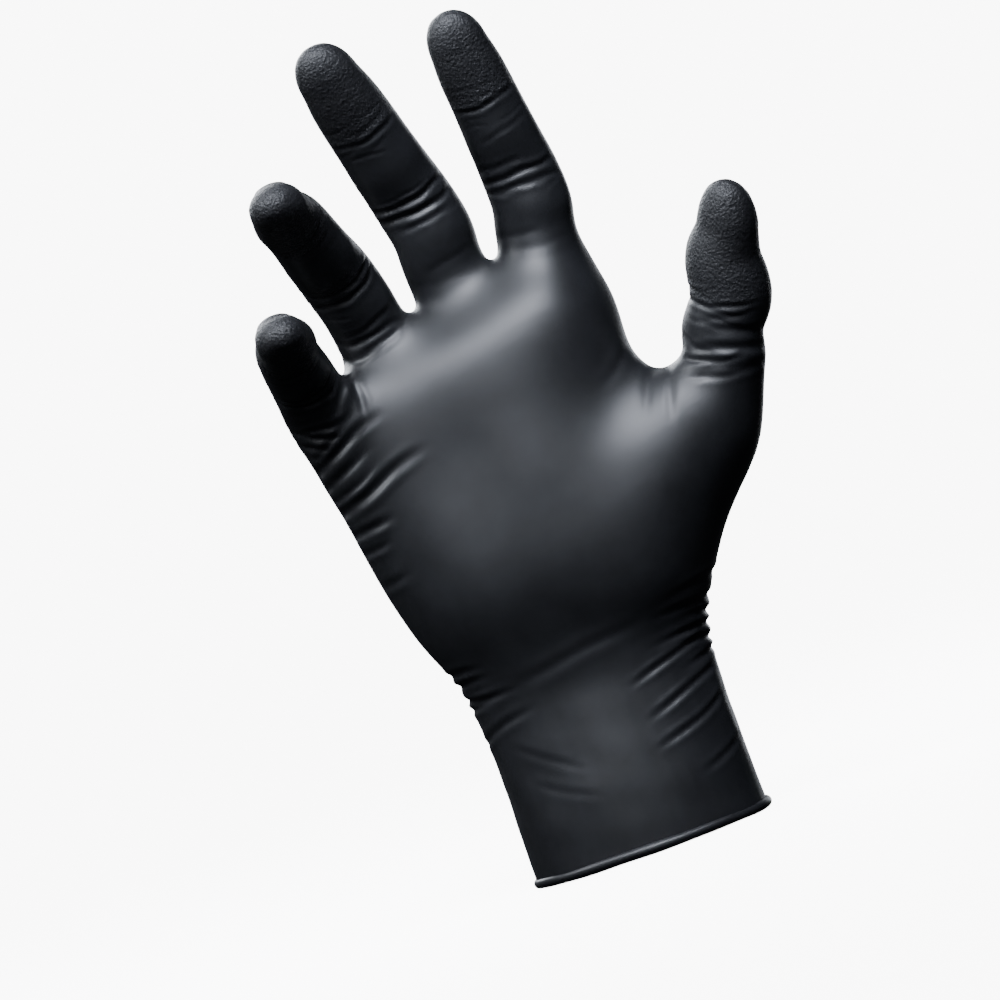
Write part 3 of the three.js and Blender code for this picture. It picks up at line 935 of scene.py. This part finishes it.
def spread(nodes, links, value, low, high):
    """The value from 0.3 to 0.7 spread over low to high."""
    made = nodes.new("ShaderNodeMapRange")
    made.inputs["From Min"].default_value = 0.3
    made.inputs["From Max"].default_value = 0.7
    made.inputs["To Min"].default_value = low
    made.inputs["To Max"].default_value = high
    links.new(value, made.inputs["Value"])
    return made.outputs["Result"]


def bump(nodes, links, height, strength, distance, before=None):
    """The surface's direction with this height on it, on top of the one before."""
    made = nodes.new("ShaderNodeBump")
    made.inputs["Distance"].default_value = distance
    links.new(height, made.inputs["Height"])
    if isinstance(strength, (int, float)):
        made.inputs["Strength"].default_value = strength
    else:
        links.new(strength, made.inputs["Strength"])
    if before:
        links.new(before, made.inputs["Normal"])
    return made.outputs["Normal"]


def film_material(name, textured):
    """Black nitrile film: satin, with faint flow marks and specks, and a crinkled grip if it is textured."""
    material, nodes, links, shader = new_material(name)
    attribute = nodes.new("ShaderNodeAttribute")
    attribute.attribute_name = "place"
    place = attribute.outputs["Vector"]
    flow = noise(nodes, links, place, FLOW_SCALE, detail=3)
    cloud = noise(nodes, links, place, CLOUD_SCALE, detail=4)
    specks = noise(nodes, links, place, SPECK_SCALE, detail=2)
    tint = nodes.new("ShaderNodeMix")
    tint.data_type = "RGBA"
    tint.inputs["A"].default_value = (*FILM_DARK, 1)
    tint.inputs["B"].default_value = (*FILM_LIGHT, 1)
    links.new(spread(nodes, links, flow, 0, 1), tint.inputs["Factor"])
    links.new(tint.outputs["Result"], shader.inputs["Base Color"])
    mostly_high = maths(nodes, links, "MULTIPLY_ADD", cloud, 0.5, 0.5)
    rough = spread(nodes, links, mostly_high, *ROUGHNESS)
    normal = bump(nodes, links, cloud, 0.22, CLOUD_HEIGHT)
    normal = bump(nodes, links, specks, 0.35, SPECK_HEIGHT, normal)
    if textured:
        share = nodes.new("ShaderNodeAttribute")
        share.attribute_name = "grip"
        share = share.outputs["Fac"]
        cells = nodes.new("ShaderNodeTexVoronoi")
        cells.feature = "SMOOTH_F1"
        cells.inputs["Scale"].default_value = CELL_SCALE
        cells.inputs["Smoothness"].default_value = 0.6
        cells.inputs["Randomness"].default_value = 1
        links.new(place, cells.inputs["Vector"])
        crinkle = noise(nodes, links, place, CRINKLE_SCALE, detail=4, roughness=0.6, distortion=1.2)
        height = maths(nodes, links, "ADD", cells.outputs["Distance"], crinkle)
        strength = maths(nodes, links, "MULTIPLY", share, GRIP_STRENGTH)
        normal = bump(nodes, links, height, strength, GRIP_HEIGHT, normal)
        rough = maths(nodes, links, "ADD", rough, maths(nodes, links, "MULTIPLY", share, GRIP_ROUGHER))
    links.new(rough, shader.inputs["Roughness"])
    links.new(normal, shader.inputs["Normal"])
    shader.inputs["Specular IOR Level"].default_value = 0.5
    shader.inputs["IOR"].default_value = 1.5
    return material


def stage_material():
    """The pale floor: it shows white, and nothing of it falls back on the glove."""
    material, nodes, links, shader = new_material("pale_floor")
    shader.inputs["Base Color"].default_value = (0.6, 0.6, 0.6, 1)
    shader.inputs["Roughness"].default_value = 0.9
    shader.inputs["Emission Color"].default_value = (1, 1, 1, 1)
    shader.inputs["Emission Strength"].default_value = FLOOR_GLOW
    return material


# ------------------------------------------------ the stage, the light and the camera


def bowl():
    """A wide round floor that curves up into a wall, so that every view has a plain pale ground."""
    radius, curve, around, steps = BOWL["radius"], BOWL["curve"], BOWL["around"], BOWL["steps"]
    profile = [(MM, 0), (BOWL["flat"], 0)]
    for i in range(steps + 1):
        turn = math.pi / 2 * i / steps
        profile.append((radius - curve * (1 - math.sin(turn)), curve * (1 - math.cos(turn))))
    profile.append((radius, BOWL["height"]))
    points = []
    for out, height in profile:
        for i in range(around):
            turn = 2 * math.pi * i / around
            points.append((out * math.cos(turn) / MM, out * math.sin(turn) / MM, height / MM))
    faces = []
    for r in range(len(profile) - 1):
        for i in range(around):
            a, b = r * around + i, r * around + (i + 1) % around
            faces.append((a, b, b + around, a + around))
    made = mesh_object("floor", np.array(points), np.array(faces))
    made.data.materials.append(stage_material())
    made.data.polygons.foreach_set("use_smooth", np.ones(len(made.data.polygons), bool))
    made.visible_diffuse = False
    made.visible_glossy = False
    made.visible_shadow = False


def area_light(name, place, aim_at, size, power, shade):
    """A soft box at a place, in metres, turned to the point that it lights."""
    data = bpy.data.lights.new(name, "AREA")
    data.shape = "RECTANGLE"
    data.size, data.size_y = size
    data.energy = power
    data.color = shade
    data.spread = math.radians(BEAM)
    made = bpy.data.objects.new(name, data)
    bpy.context.scene.collection.objects.link(made)
    made.location = place
    made.rotation_mode = "QUATERNION"
    made.rotation_quaternion = (Vector(aim_at) - Vector(place)).to_track_quat("-Z", "Y")


def world():
    """A faint cool light from all round."""
    made = bpy.data.worlds.new("studio")
    bpy.context.scene.world = made
    made.use_nodes = True
    made.node_tree.nodes["Background"].inputs["Color"].default_value = (0.75, 0.8, 0.9, 1)
    made.node_tree.nodes["Background"].inputs["Strength"].default_value = WORLD_STRENGTH


def camera():
    """The camera in front of the palm, level with its middle, and rolled so that the forearm leans."""
    data = bpy.data.cameras.new("camera")
    data.sensor_width = SENSOR
    data.lens = SENSOR * CAMERA["distance"] / CAMERA["frame_width"]
    data.clip_end = 20
    made = bpy.data.objects.new("camera", data)
    bpy.context.scene.collection.objects.link(made)
    roll = math.radians(CAMERA["roll"])
    right = Vector((math.cos(roll), 0, -math.sin(roll)))
    up = Vector((math.sin(roll), 0, math.cos(roll)))
    middle = Vector(CAMERA["middle"]) * MM
    turned = Matrix((right, up, right.cross(up))).transposed().to_4x4()
    made.matrix_world = Matrix.Translation(middle + right.cross(up) * CAMERA["distance"] * MM) @ turned
    bpy.context.scene.camera = made


# ------------------------------------------------ putting it together


def bend(piece):
    """Bake a piece's placement into its mesh."""
    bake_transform(piece)


def dress(piece, node, material):
    """Give a piece its material, and hide the CAD node that it covers."""
    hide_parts(node)
    piece.data.materials.append(material)


def build():
    """The skin and all its pieces."""
    points, faces = skin_of(glove_field())
    points = relaxed(points, faces, SMOOTHING)
    points = stretched(points, faces, STRETCHING)
    points, faces = subdivided(points, faces)
    points = folded(points, faces)
    normals = normals_of(points, faces)
    labels = labels_of(points, faces)
    film = film_material("film", textured=False)
    grip_film = film_material("grip_film", textured=True)

    palm = piece_object("film_palm", points, normals, faces[labels == "palm"])
    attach(palm, "palm")
    dress(palm, "palm", film)
    cuff = piece_object("film_cuff", *cuff_wall(points, normals, faces[labels == "cuff"]))
    bend(cuff)
    dress(cuff, "cuff", film)
    edge = bead_object()
    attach(edge, "cuff")
    dress(edge, "cuff_bead", film)
    for digit in DIGITS:
        for i, part in enumerate(parts_of(digit)):
            node = f"{digit}_{part}"
            tip_of = digit if part == "tip" else None
            piece = piece_object(f"film_{node}", points, normals, faces[labels == node], tip_of)
            bend(piece)
            if tip_of:
                dress(piece, node, grip_film)
            else:
                dress(piece, node, film)


build()
bowl()
world()
for row in LIGHTS:
    area_light(*row)
camera()
